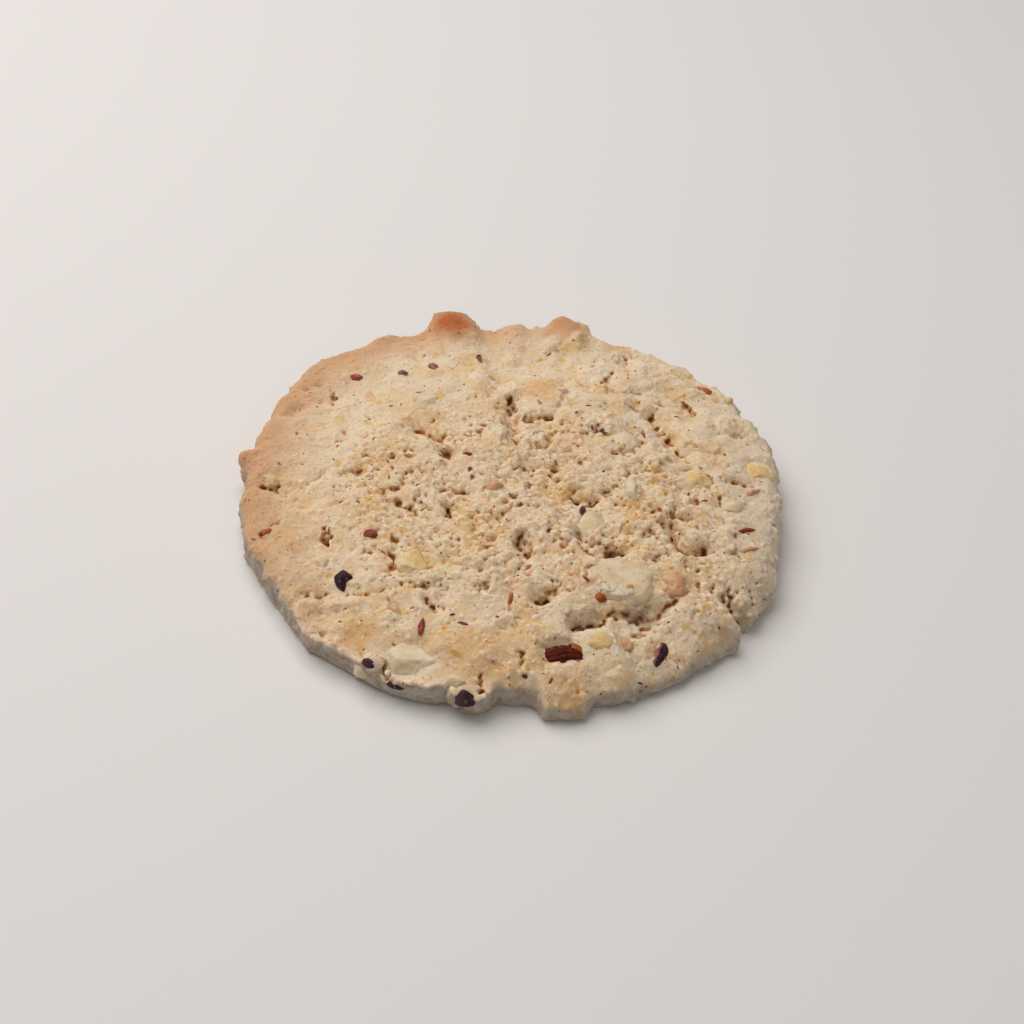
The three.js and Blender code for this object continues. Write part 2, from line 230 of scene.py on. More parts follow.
def move_points(piece, points):
    """Put the points back, in metres."""
    piece.data.vertices.foreach_set("co", (points * MM).ravel())
    piece.data.update()


def soft_step(value, low, high):
    """0 below low, 1 above high, and a smooth curve between."""
    share = np.clip((value - low) / (high - low), 0, 1)
    return share * share * (3 - 2 * share)


# Without a seed this noise starts from the clock, and no two runs would give the same dough.
noise.seed_set(3)


def clouds(points, size, offset):
    """Soft noise from -1 to 1 with features size millimetres across."""
    return np.array([noise.noise(p) for p in ((points + offset) / size).tolist()])


def drift(points, size, offset):
    """A soft random shift of each point, to make straight lines ragged."""
    return np.array([noise.noise_vector(p) for p in ((points + offset) / size).tolist()])


def cells(points, size, offset):
    """Cells: distance to the nearest seed, how much further the next one is, and a draw for each cell."""
    found = [noise.voronoi(p) for p in ((points + offset) / size).tolist()]
    near = np.array([distances[0] for distances, _ in found])
    gap = np.array([distances[1] for distances, _ in found]) - near
    draw = np.array([noise.cell(seeds[0] * 7.3) for _, seeds in found])
    return near * size, gap * size, draw


# %% [markdown]
# ### Cracks
# A short dough tears as it spreads in the oven. The large cracks are listed as they run in plan: from, to,
# half width and depth. A boolean could cut them, but torn dough shows no clean cut: a crack is steep at its
# back, runs out towards the front and dives backwards, so that its back lip hangs over it.

# %% List the cracks and measure their depth
CRACKS = [
    (-1.3, 15.6, -1.1, 13.6, 0.7, 1.3),
    (-1.1, 13.6, -0.6, 6.2, 0.7, 0.7),
    (0.8, 11.0, 3.8, 12.0, 0.5, 0.8),
    (-13.5, 8.4, -11.4, 7.4, 0.4, 0.8),
    (-11.4, 7.4, -10.0, 5.6, 0.4, 0.8),
    (-9.4, 4.0, -8.7, 2.4, 0.5, 1.1),
    (-14.2, -6.9, -12.0, -8.8, 0.4, 0.9),
    (-9.0, -4.3, -6.6, -4.6, 0.4, 0.9),
    (-8.0, -7.8, -7.8, -8.8, 0.5, 1.4),
    (7.8, -2.8, 10.0, -3.6, 0.5, 1.3),
    (8.2, -9.0, 8.9, -11.4, 0.4, 0.8),
    (9.0, -12.4, 10.4, -13.5, 0.5, 1.2),
    (10.4, -13.5, 13.6, -12.3, 0.5, 1.2),
    (20.0, -7.3, 21.4, -9.4, 0.4, 1.1),
    (21.2, -9.8, 22.6, -10.8, 0.7, 1.5),
    (22.6, -10.6, 24.6, -9.5, 0.5, 1.3),
    (1.1, -12.2, 1.6, -13.6, 0.4, 1.0),
    (1.6, -13.6, 2.4, -15.4, 0.4, 1.0),
    (1.9, -17.0, 2.8, -19.2, 0.4, 0.6),
    (4.0, -21.8, 5.4, -21.3, 0.35, 1.1),
    (8.4, -24.8, 11.2, -23.6, 0.35, 1.4),
    (11.2, -23.6, 13.0, -22.4, 0.4, 1.1),
    (13.0, -22.4, 17.8, -22.0, 0.5, 1.0),
    (17.8, -22.0, 20.6, -19.4, 0.5, 1.0),
    (16.0, -24.4, 18.2, -22.2, 0.4, 0.9),
    (-9.4, -23.2, -8.0, -24.2, 0.5, 1.0),
    (-14.3, -16.2, -14.1, -19.4, 0.6, 0.8),
    (-24.0, -22.4, -21.0, -22.3, 0.2, 0.4),
    (-19.0, -22.6, -14.6, -21.8, 0.25, 0.5),
    (-12.8, -21.0, -9.4, -21.4, 0.3, 0.7),
    (2.5, -30.4, 2.8, -31.8, 0.35, 0.9),
    (17.2, 16.0, 19.6, 12.2, 0.6, 0.9),
    (19.6, 12.2, 20.2, 11.4, 0.6, 1.4),
    (21.0, 9.8, 21.6, 8.6, 0.5, 1.3),
    (22.4, 19.4, 23.2, 17.8, 0.5, 1.1),
    (14.2, 29.6, 13.7, 26.8, 0.4, 0.8),
    (12.2, 23.4, 10.8, 20.6, 0.4, 0.8),
    (-25.3, 15.2, -24.9, 12.6, 0.3, 0.9),
    (-20.4, 10.4, -20.0, 9.4, 0.3, 0.8),
    (-22.9, -11.8, -22.5, -14.2, 0.4, 1.4),
    (-31.6, -3.8, -30.2, -4.2, 0.4, 1.0),
    (-13.0, -31.2, -13.5, -33.6, 0.3, 1.2),
    (-30.6, -13.0, -29.2, -10.8, 0.3, 0.8),
    (27.4, -15.4, 27.5, -17.2, 0.3, 1.0),
    (23.5, -16.2, 23.9, -17.0, 0.3, 0.7),
    (25.2, -15.4, 25.4, -16.4, 0.3, 0.8),
    (30.2, -15.2, 30.4, -16.2, 0.3, 0.8),
    (15.3, -32.4, 15.9, -34.2, 0.4, 1.1),
    (-1.9, -33.6, -1.7, -35.2, 0.3, 0.9),
    (10.0, 10.2, 11.4, 9.4, 0.4, 1.0),
    (28.0, 3.8, 30.6, 4.2, 0.4, 0.8),
    (26.4, 0.2, 27.0, -1.4, 0.3, 0.7),
]
# Lobes that make the sides ragged: size and shift.
CRACK_LOBES = [(1.8, 0.7), (0.7, 0.45), (0.4, 0.25)]


def crack_depth(points):
    """Depth of the cracks, with ragged sides and an uneven floor, and how near each point is to one."""
    ragged = points + sum(shift * drift(points, size, 9 * size + 40) for size, shift in CRACK_LOBES)
    depth, near = np.zeros(len(points)), np.zeros(len(points))
    for x0, y0, x1, y1, half, deep in CRACKS:
        run = np.array([x1 - x0, y1 - y0])
        start = ragged[:, :2] - (x0, y0)
        along = np.clip(start @ run / (run @ run), 0, 1)
        away = start - along[:, None] * run
        distance = np.linalg.norm(away, axis=1)
        frontal = np.clip(-away[:, 1] / np.maximum(distance, 0.01), 0, 1)
        width = half * (1 + 0.9 * frontal)
        share = 1 - soft_step(distance / width, 0.45, 1.15)
        depth = np.maximum(depth, deep * share ** (1 + frontal))
        near = np.maximum(near, min(deep, 1) * np.exp(-((distance / 1.2) ** 2)))
    return depth * (1 + 0.7 * clouds(points, 1.1, 33)), near


points, normals = mesh_points(crumb)
cracked, near_crack = crack_depth(points)
print(len(CRACKS), "cracks, the deepest", round(float(cracked.max()), 2), "mm")

# %% [markdown]
# ### Seams
# Between the cracks, clumps of dough parted along some of their borders. The borders of noise cells, made
# ragged by a soft drift, give such seams. They open most in the middle, where the dough is most torn.

# %% Open seams between the clumps
CLUMP_SIZE = 2.8
SEAM_DEPTH = 0.75


def crumbliness(points):
    """How torn the surface is: most in the middle and least at the back left."""
    x, y = points[:, 0], points[:, 1]
    reach = np.hypot((x - 5) / 26, (y + 6) / 18)
    torn = 1 - 0.45 * soft_step(reach + 0.3 * clouds(points, 8.0, 30), 0.6, 1.25)
    return torn * (1 - 0.3 * soft_step(0.6 * y - 0.4 * x, 6, 22))


def seam_depth(points):
    """Depth of the ragged seams that open along some borders between clumps."""
    warped = points + 1.3 * drift(points, 2.6, 10) + 0.7 * drift(points, 1.0, 20)
    warped = warped + 0.3 * drift(points, 0.5, 21)
    _, gap, _ = cells(warped, CLUMP_SIZE, 5.0)
    opened = soft_step(clouds(points, 3.0, 70), -0.1, 0.3) * soft_step(crumbliness(points), 0.4, 0.9)
    return SEAM_DEPTH * opened * (1 - soft_step(gap, 0.06, 0.16 + 0.4 * opened))


upper = soft_step(normals[:, 2], -0.1, 0.5)
sunk = np.maximum(cracked, seam_depth(points)) * upper
print("seams and cracks on", round(100 * float((sunk > 0.1).mean())), "% of the points")

# %% [markdown]
# ### Shelves
# The torn top lies in thin shelves with steep, lobed edges. Soft hills cut into steps give those, and each
# step leans forward a little, so that its front edge hangs over. A few clumps stand above the rest.

# %% Step the shelves and raise the clumps
# Clumps that stand above the rest, with a steep edge: centre, half length, half width and lift.
RAISED_CLUMPS = [
    (1.6, 16.4, 3.6, 5.9, 0.55),
    (5.0, 6.2, 4.6, 3.8, 0.35),
    (-4.0, -15.5, 5.0, 3.4, 0.3),
    (12.5, 22.5, 5.5, 3.6, 0.35),
    (24.5, 14.5, 4.0, 5.0, 0.3),
    (-16.0, 4.0, 5.0, 3.6, 0.25),
    (-3.0, -29.0, 5.5, 2.6, 0.25),
]
SHELF_HEIGHT = 0.2
# Hills: size and height. Lobes that make their edges ragged: size and shift.
SHELF_HILLS = [(7.0, 0.45), (2.8, 0.4), (1.3, 0.15)]
SHELF_LOBES = [(2.4, 0.9), (1.0, 0.45), (0.45, 0.25)]


def shelves(points, near_crack):
    """Lift of the torn shelves, which step down to the cracks, and of the listed clumps."""
    warped = points + sum(shift * drift(points, size, 9 * size) for size, shift in SHELF_LOBES)
    hills = sum(height * clouds(warped, size, 9 * size) for size, height in SHELF_HILLS)
    level = (hills - 0.45 * near_crack) / SHELF_HEIGHT
    lift = SHELF_HEIGHT * (np.floor(level) + soft_step(level - np.floor(level), 0.85, 1.0))
    lift *= crumbliness(points)
    for x, y, length, width, height in RAISED_CLUMPS:
        reach = np.hypot((warped[:, 0] - x) / length, (warped[:, 1] - y) / width)
        lift += height * (1 - soft_step(reach, 0.86, 1.0))
    return lift


lift = shelves(points, near_crack) * upper
print("shelves from", round(float(lift.min()), 2), "to", round(float(lift.max()), 2), "mm")

# %% [markdown]
# ### Wall, nib and seats
# The wall is lumpy, and a thin nib sticks out at the left. The dough under each nut is drawn in, so that the
# nut fills the place that the solid gave it and a ragged collar of dough hugs it. What lies on a nut is
# marked, because no grain of dough sticks there.

# %% Shape the wall and draw in the seats
SHELF_LEAN = np.array([0.0, -0.35, 0.9])
CRACK_DIVE = np.array([0.0, 0.6, -0.7])
# Lumps of the wall: size and height.
WALL_BUMPS = [(3.4, 0.5), (1.5, 0.45), (0.8, 0.35)]
NIB = np.array([-35.0, 2.6, 4.6])
HUG = 0.86
PALE = ("cream", "yellow")


def cut_away(local, cuts):
    """Distance from the middle of a chopped nut of radius one to its surface, towards each local point."""
    ways = local / np.maximum(np.linalg.norm(local, axis=1), 0.01)[:, None]
    surface = np.ones(len(local))
    for x, y, z, distance in cuts:
        facing = ways @ np.array([x, y, z]) / math.hypot(x, y, z)
        surface = np.minimum(surface, distance / np.maximum(facing, 0.01))
    return surface


def draw_in_seats(points):
    """Draw the dough in below the bare part of each nut, and mark the points that lie on a nut."""
    on_nut = np.zeros(len(points), dtype=bool)
    ragged = 0.4 * clouds(points, 1.5, 35) + 0.25 * clouds(points, 0.7, 36)
    for skin, centre, half_sizes, angle, cuts, bare, facing in seats:
        away = points - centre
        c, s = math.cos(math.radians(angle)), math.sin(math.radians(angle))
        local = np.stack([away[:, 0] * c + away[:, 1] * s, away[:, 1] * c - away[:, 0] * s, away[:, 2]], 1)
        local = local / half_sizes
        reach = np.linalg.norm(local, axis=1)
        spread = np.linalg.norm(np.delete(local, facing, axis=1), axis=1)
        share = 1 - soft_step(spread + ragged * min(1, min(half_sizes) / 2), bare - 0.15, bare + 0.1)
        share = share * (reach < 1.5) * (local[:, facing] > 0)
        on_nut |= (share > 0.3) | ((reach < 1.2) & (skin not in PALE))
        below = np.minimum(HUG * cut_away(local, cuts) / np.maximum(reach, 0.2), 1)
        points = points + away * (below - 1)[:, None] * share[:, None]
    return points, on_nut


wall = (1 - upper) * (points[:, 2] > 0.5)
bumps = sum(height * (np.abs(clouds(points, size, 45)) - 0.2) for size, height in WALL_BUMPS) * wall
nib = 0.8 * np.exp(-np.sum((points - NIB) ** 2, axis=1) / 0.9)
points = points + normals * (bumps + nib)[:, None] + lift[:, None] * SHELF_LEAN + sunk[:, None] * CRACK_DIVE
seated, on_nut = draw_in_seats(points)
move_points(crumb, seated)
print("shaped dough:", int(on_nut.sum()), "of", len(seated), "points lie on nuts")

# %% [markdown]
# ### Loose grains baked on
# A short dough is made of rubbed-in grains, half a millimetre to a millimetre across, that never quite melt
# into one. Thousands of small crumpled balls are sunk most of the way into the surface, fewer in the cracks
# and none on the nuts, and a voxel remesh then fuses them with the dough, which leaves creases between them.

# %% Sink the grains and fuse them
GRAIN_DRAW = np.random.default_rng(11)
GRAINS = 13000
SUNK_SHARE = 0.5
LEAST_GRAIN, GRAIN_GROWTH = 0.22, 0.6

bpy.ops.object.select_all(action="DESELECT")
bpy.ops.mesh.primitive_ico_sphere_add(subdivisions=1, radius=1, location=(0, 0, 0))
seed_shape = bpy.context.object
SEED_POINTS = np.array([vertex.co for vertex in seed_shape.data.vertices])
SEED_FACES = np.array([face.vertices for face in seed_shape.data.polygons])
bpy.ops.object.delete()


def mesh_piece(name, points, faces):
    """A new object from arrays of points, in millimetres, and faces."""
    mesh = bpy.data.meshes.new(name)
    mesh.from_pydata((points * MM).tolist(), [], faces.tolist())
    piece = bpy.data.objects.new(name, mesh)
    bpy.context.scene.collection.objects.link(piece)
    return piece


torn = crumbliness(points)
chance = np.maximum(upper, wall) * torn * (1 - 0.85 * soft_step(sunk, 0.1, 0.5)) * ~on_nut
chance *= 0.2 + soft_step(clouds(points, 2.4, 61), -0.2, 0.2)
chosen = GRAIN_DRAW.choice(len(points), GRAINS, replace=False, p=chance / chance.sum())
_, seated_normals = mesh_points(crumb)
radii = (LEAST_GRAIN + GRAIN_GROWTH * GRAIN_DRAW.random(GRAINS) ** 2.5) * (0.4 + 0.6 * torn[chosen])
middles = seated[chosen] - seated_normals[chosen] * (SUNK_SHARE * radii)[:, None]
swell = GRAIN_DRAW.uniform(0.75, 1.25, (GRAINS, len(SEED_POINTS), 1))
grain_points = middles[:, None] + SEED_POINTS * swell * radii[:, None, None]
# Grains at the foot of the wall stay above the base.
grain_points[:, :, 2] = np.maximum(grain_points[:, :, 2], 0)
grain_faces = np.arange(GRAINS)[:, None, None] * len(SEED_POINTS) + SEED_FACES
grains = mesh_piece("grains", grain_points.reshape(-1, 3), grain_faces.reshape(-1, 3))
take_up(crumb)
grains.select_set(True)
bpy.ops.object.join()
apply_modifier(crumb, "REMESH", mode="VOXEL", voxel_size=SECOND_VOXEL)
print(GRAINS, "grains fused,", len(crumb.data.vertices), "points")

# %% [markdown]
# ### Crumb and pores
# Between the grains the crumb is sandy: small rounded bumps with sharp creases, and pores where steam left.
# Folding soft noise at zero gives just such bumps, and two sizes of it are laid over each other.

# %% Raise the crumb and prick the pores
# Bumps: size and height. Pores: spacing, radius and depth. The foot of the wall stays as it is.
BUMPS = [(1.4, 0.05), (0.7, 0.05)]
PORES = [(4.2, 0.4, 0.6), (2.7, 0.3, 0.4)]
FOOT = 0.4


def crumb_lift(points):
    """Height of the crumb above the shelves: folded bumps, less the pores."""
    warped = points + 0.35 * drift(points, 0.9, 90)
    lift = np.zeros(len(points))
    for size, height in BUMPS:
        lift += height * (np.abs(clouds(warped, size, 11 * size)) - 0.22)
    lift *= 0.3 + 0.7 * crumbliness(points)
    for size, radius, depth in PORES:
        near, _, draw = cells(points + 0.4 * drift(points, 0.6, 15), size, 25.0)
        width = radius * np.clip(draw, 0.0, 1.0)
        lift -= depth * (draw > 0.3) * (1 - soft_step(near, 0.3 * width, 1.1 * width + 0.01))
    return lift


points, normals = mesh_points(crumb)
above_base = points[:, 2] > FOOT
outside = points[above_base]
outside += normals[above_base] * crumb_lift(outside)[:, None]
points[above_base] = outside
move_points(crumb, points)
print("crumb raised on", int(above_base.sum()), "points")

# %% [markdown]
# ### What the surface remembers
# Several things steer the colour: how hollow a place is, because creases and hollows get painted shade; how
# steeply it was broken, because steep sides get a warm painted shade; what is the front wall, which gets a
# grey painted shade; how near it is to the rim, where the oven toasts it; and where butter gathered. They are
# measured here and kept as attributes of the mesh. The points are then thinned, which takes most from the
# flat underside and leaves the crumb as it is.


# %% Measure hollows, broken sides and the front wall
def evened(points, edges, rounds):
    """The points after several rounds of moving each to the mean of its neighbours."""
    ends = np.concatenate([edges[:, 0], edges[:, 1]])
    others = np.concatenate([edges[:, 1], edges[:, 0]])
    count = np.bincount(ends, minlength=len(points))
    for _ in range(rounds):
        points = np.stack([np.bincount(ends, points[others, k], len(points)) / count for k in range(3)], 1)
    return points


def keep_attribute(piece, name, values):
    """Store one number for each point under a name that a material can read."""
    attribute = piece.data.attributes.new(name, "FLOAT", "POINT")
    attribute.data.foreach_set("value", values.astype(np.float32))


points, normals = mesh_points(crumb)
edges = np.empty(2 * len(crumb.data.edges), dtype=np.int64)
crumb.data.edges.foreach_get("vertices", edges)
edges = edges.reshape(-1, 2)
# Painted shade: how hollow each place is, kept so that the finish can darken creases and hollows.
fine_hollow = np.einsum("ij,ij->i", evened(points, edges, 8) - points, normals)
broad_hollow = np.einsum("ij,ij->i", evened(points, edges, 60) - points, normals)
broad_normals = evened(normals, edges, 40)
broad_normals /= np.linalg.norm(broad_normals, axis=1)[:, None]
# Painted shade: the wall that faces the viewer is marked here, and its finish greys it as if it lay in shade.
towards_front = np.cos(np.arctan2(points[:, 1], points[:, 0]) - math.radians(255))
painted_wall_shade_share = soft_step(towards_front, -0.2, 0.6) * (1 - soft_step(broad_normals[:, 2], 0.1, 0.6))
keep_attribute(crumb, "fine_hollow", fine_hollow)
keep_attribute(crumb, "broad_hollow", broad_hollow)
keep_attribute(crumb, "wall", painted_wall_shade_share)
# Painted shade: how far each spot turns from its surroundings, so that steep sides get a warm painted shade.
keep_attribute(crumb, "steep_side_painted_shade", 1 - np.einsum("ij,ij->i", normals, broad_normals))
keep_attribute(crumb, "crumbliness", crumbliness(points))
print("hollows up to", round(float(broad_hollow.max()), 2), "mm deep")

# %% Measure browning and butter
# Places that the oven toasted: x, y, reach and share. Then places where butter turned the dough golden.
TOASTED = [(-10.6, 31.2, 3.8, 1.1), (-11.0, 35.0, 4.0, 0.4), (5.5, 33.5, 4.0, 0.7)]
GOLDEN = [
    (-14.0, 11.0, 16.0, 0.4),
    (-20.0, -9.0, 11.0, 0.4),
    (1.8, 17.5, 4.6, 1.0),
    (6.5, 7.5, 4.0, 0.6),
    (-15.5, 1.2, 4.5, 0.5),
    (-26.0, -13.0, 5.0, 0.3),
    (-17.0, -28.0, 3.6, 1.0),
    (-3.0, -31.0, 7.0, 0.9),
    (8.0, -33.5, 5.0, 0.75),
]


def spots(points, places):
    """Sum of soft round spots."""
    total = np.zeros(len(points))
    for x, y, reach, share in places:
        total += share * (1 - soft_step(np.hypot(points[:, 0] - x, points[:, 1] - y) / reach, 0.2, 1.1))
    return total


def browning(points):
    """Share of oven browning: the rim, most at the left and back, and the thin knobs that stick out."""
    reach = np.hypot(points[:, 0], points[:, 1])
    angle = np.arctan2(points[:, 1], points[:, 0])
    side = 0.06 + 0.94 * soft_step(np.cos(angle - math.radians(150)), -0.2, 0.8)
    brown = side * soft_step(reach + 1.6 * clouds(points, 6.0, 80), 22, 36.5)
    return np.clip(brown + spots(points, TOASTED), 0, 2)


keep_attribute(crumb, "browning", browning(points))
keep_attribute(crumb, "golden", spots(points, GOLDEN))
print(len(TOASTED), "toasted and", len(GOLDEN), "golden places")

# %% Thin the mesh
MOST_TRIANGLES = 197000

triangles = sum(len(face.vertices) - 2 for face in crumb.data.polygons)
apply_modifier(crumb, "DECIMATE", ratio=MOST_TRIANGLES / triangles)
bpy.ops.object.shade_smooth()
print("thinned from", triangles, "to", len(crumb.data.polygons), "triangles")

# %% [markdown]
# ## Finishes
# Colours are written as sRGB hex, as read off a screen, and one function turns them to the linear values that
# a shader needs. One small function adds a node, sets it and links it. A finish is then built up as a painter
# would: a ground tone, and coats over it that each show in some places only.


# %% Helpers for colours, nodes and coats
SMOOTH = {"interpolation_type": "SMOOTHSTEP"}


def linear(hex_colour):
    """An sRGB hex colour as linear red, green, blue and alpha."""
    shares = [int(hex_colour[k : k + 2], 16) / 255 for k in (1, 3, 5)]
    return (*[s / 12.92 if s <= 0.04045 else ((s + 0.055) / 1.055) ** 2.4 for s in shares], 1.0)


def add_node(tree, kind, inputs=None, **settings):
    """Add a node, give it its settings, and set or link its inputs. A hex value becomes a linear colour."""
    node = tree.nodes.new(kind)
    for name, value in settings.items():
        setattr(node, name, value)
    for name, value in (inputs or {}).items():
        if isinstance(value, bpy.types.NodeSocket):
            tree.links.new(value, node.inputs[name])
        else:
            node.inputs[name].default_value = linear(value) if isinstance(value, str) else value
    return node


def per_metre(size):
    """Texture scale for a pattern whose features are size millimetres apart."""
    return 1 / (size * MM)


def new_finish(name, sockets):
    """A material with its tree, its surface shader with some sockets set, and the piece's own coordinates."""
    material = bpy.data.materials.new(name)
    material.use_nodes = True
    tree = material.node_tree
    shader = tree.nodes["Principled BSDF"]
    for socket, value in sockets.items():
        shader.inputs[socket].default_value = value
    return material, tree, shader, add_node(tree, "ShaderNodeTexCoord").outputs["Object"]


def patches(tree, places, size, low, high, detail=2.0, offset=0.0):
    """Soft patches, size millimetres across, as a share that rises from 0 at low to 1 at high."""
    inputs = {"Vector": places, "W": offset, "Scale": per_metre(size), "Detail": detail}
    cloud = add_node(tree, "ShaderNodeTexNoise", inputs, noise_dimensions="4D").outputs[0]
    return add_node(tree, "ShaderNodeMapRange", {0: cloud, 1: low, 2: high}, **SMOOTH).outputs[0]


def coats(tree, ground, layers):
    """Lay coats over a ground tone: each layer is the share of it that shows, and its colour."""
    tone = ground
    for share, colour in layers:
        inputs = {0: share, 6: tone, 7: colour}
        tone = add_node(tree, "ShaderNodeMix", inputs, data_type="RGBA").outputs[2]
    return tone


print("the palest tone of the dough in linear light:", [round(v, 2) for v in linear("#F0E4CE")[:3]])

# %% [markdown]
# ### The baked crumb
# Short nut dough bakes to a dry, matte, pale straw colour with golden, buttery patches. It is toasted at the
# rim and peppered with dust of nut skin that is too fine to model, so it is painted as dots. Golden brown
# painted shade darkens its hollows, creases, pores and steep sides, a grey painted shade the front wall, and
# a grey cast of painted cool light the right side. Its sandy grain of a quarter of a millimetre is also too
# fine
# for the mesh: it is a tint and a bump, with painted shade in the creases between grains. Light goes a little
# way into it, which softens the shade in the creases.


# %% Lay the tones of the dough
def kept_share(tree, name, low, high):
    """A share that rises from 0 to 1 as a number that the mesh keeps goes from low to high."""
    kept = add_node(tree, "ShaderNodeAttribute", attribute_name=name).outputs["Fac"]
    return add_node(tree, "ShaderNodeMapRange", {0: kept, 1: low, 2: high}, **SMOOTH).outputs[0]


def dough_tones(tree, places):
    """Pale straw dough with the tones that baking gives it and with painted shade and light, from the first
    to the last.
    """
    # Painted light: the right side is greyed and cooled, as if lit by a cool light.
    across = add_node(tree, "ShaderNodeSeparateXYZ", {0: places}).outputs["X"]
    to_the_right = {0: across, 1: 22 * MM, 2: 38 * MM}
    painted_cool_light_right = add_node(tree, "ShaderNodeMapRange", to_the_right, **SMOOTH).outputs[0]
    # Painted shade: grey tones for the front wall, which faces away from the light.
    painted_wall_shade_tone = coats(tree, "#AEA294", [(patches(tree, places, 1.6, 0.4, 0.6, offset=12.0), "#BAB6AE")])
    layers = [
        # Straw, cream, pinkish and buttery patches of the dough itself.
        (patches(tree, places, 6.0, 0.4, 0.62), "#E7CCA0"),
        (patches(tree, places, 2.4, 0.46, 0.62, offset=5.0), "#EADABF"),
        (patches(tree, places, 3.0, 0.6, 0.72, offset=6.0), "#DEBD9E"),
        (patches(tree, places, 1.7, 0.6, 0.7, offset=8.0), "#E4C083"),
        # Gathered butter, a grey cast of painted cool light on the right side, paler sharp ridges, and warm
        # painted shade on steep broken sides.
        (kept_share(tree, "golden", 0.1, 1.6), "#E0B072"),
        (painted_cool_light_right, "#D6CAB8"),
        (kept_share(tree, "fine_hollow", -0.02, -0.12), "#F0E4CE"),
        (kept_share(tree, "steep_side_painted_shade", 0.2, 0.9), "#D8AE78"),
        # Toasted rim and knobs, then painted shade on the front wall, which is greyed where it faces the
        # viewer.
        (kept_share(tree, "browning", 0.0, 1.1), "#CFA57E"),
        (kept_share(tree, "browning", 0.9, 2.0), "#B5693A"),
        (kept_share(tree, "wall", 0.0, 1.2), painted_wall_shade_tone),
        # Painted shade: creases and hollows darker and browner.
        (kept_share(tree, "fine_hollow", 0.02, 0.12), "#C0823F"),
        (kept_share(tree, "broad_hollow", 0.12, 0.62), "#9A5A2A"),
    ]
    print("tones of the dough:", len(layers))
    return coats(tree, "#EADAC0", layers)


# %% Make the crumb finish
def dots(tree, places, size, low, high, share):
    """Dots in some cells of size millimetres, fading out from low to high cell radii, thinned by a share."""
    found = add_node(tree, "ShaderNodeTexVoronoi", {"Vector": places, "Scale": per_metre(size)}).outputs
    chosen = add_node(tree, "ShaderNodeMapRange", {0: found["Color"], 1: 0.5, 2: 0.58}, **SMOOTH).outputs[0]
    dot = add_node(tree, "ShaderNodeMapRange", {0: found["Distance"], 1: high, 2: low}, **SMOOTH).outputs[0]
    dot = add_node(tree, "ShaderNodeMath", {0: dot, 1: chosen}, operation="MULTIPLY").outputs[0]
    return add_node(tree, "ShaderNodeMath", {0: dot, 1: share}, operation="MULTIPLY").outputs[0]


def crumb_finish():
    """Baked nut dough: dry, so it is rough all over, and a little translucent."""
    sockets = {
        "Roughness": 0.88,
        "Specular IOR Level": 0.25,
        "Subsurface Weight": 0.8,
        "Subsurface Radius": (1.0, 0.5, 0.25),
        "Subsurface Scale": 0.7 * MM,
    }
    material, tree, shader, places = new_finish("baked_nut_dough", sockets)
    times = {"data_type": "RGBA", "blend_type": "MULTIPLY"}
    # Round cells would look printed, so their places are bent.
    wobble = add_node(tree, "ShaderNodeTexNoise", {"Vector": places, "Scale": per_metre(0.7), "Detail": 2.0})
    bent = {0: wobble.outputs["Color"], 1: (0.4 * MM,) * 3, 2: places}
    uneven = add_node(tree, "ShaderNodeVectorMath", bent, operation="MULTIPLY_ADD").outputs[0]
    # Pits half a millimetre apart, painted brown as shade in pores too small to model, and dust of nut skin
    # where the dough is torn.
    pits = dots(tree, uneven, 0.5, 0.12, 0.34, patches(tree, places, 2.0, 0.42, 0.62, offset=7.0))
    sandy = kept_share(tree, "crumbliness", 0.0, 1.1)
    dust = dots(tree, places, 0.8, 0.08, 0.22, patches(tree, places, 1.6, 0.5, 0.6, offset=9.0))
    thinned = add_node(tree, "ShaderNodeMath", {0: dust, 1: sandy}, operation="MULTIPLY").outputs[0]
    tone = coats(tree, dough_tones(tree, places), [(pits, "#BC8647"), (thinned, "#8C4A2E")])
    # Sandy grains, with painted shade in the creases between them.
    dome_cells = {"Vector": uneven, "Scale": per_metre(0.48)}
    domes = add_node(tree, "ShaderNodeTexVoronoi", dome_cells).outputs["Distance"]
    crease_painted_shade = add_node(tree, "ShaderNodeMapRange", {0: domes, 1: 0.45, 2: 0.95}, **SMOOTH).outputs[0]
    grain = patches(tree, places, 0.25, 0.3, 0.7, offset=2.0)
    crease_shade_tint = coats(tree, "#FFFFFF", [(crease_painted_shade, "#F4E4CA")])
    dulled = add_node(tree, "ShaderNodeMix", {0: 1.0, 6: crease_shade_tint, 7: "#F4EEE6"}, **times).outputs[2]
    sanded = coats(tree, dulled, [(grain, crease_shade_tint)])
    tone = add_node(tree, "ShaderNodeMix", {0: sandy, 6: tone, 7: sanded}, **times).outputs[2]
    tree.links.new(tone, shader.inputs["Base Color"])
    height = add_node(tree, "ShaderNodeMath", {0: domes, 1: -1.2, 2: grain}, operation="MULTIPLY_ADD")
    pitted = {0: pits, 1: -1.0, 2: height.outputs[0]}
    height = add_node(tree, "ShaderNodeMath", pitted, operation="MULTIPLY_ADD")
    relief = {"Height": height.outputs[0], "Strength": 0.5, "Distance": 0.13 * MM}
    tree.links.new(add_node(tree, "ShaderNodeBump", relief).outputs[0], shader.inputs["Normal"])
    return material


crumb.data.materials.append(crumb_finish())
print("crumb finish:", len(crumb.data.materials[0].node_tree.nodes), "nodes")

# %% [markdown]
# ### Nut flesh and skins
# Roasted peanut flesh is a dense, slightly oily cream, a little yellow where the oven reached it. The skins
# are papery: red-brown, pink where they are thin, or nearly purple where they are thick. Flesh is smoother
# than the crumb, so it catches a soft highlight.


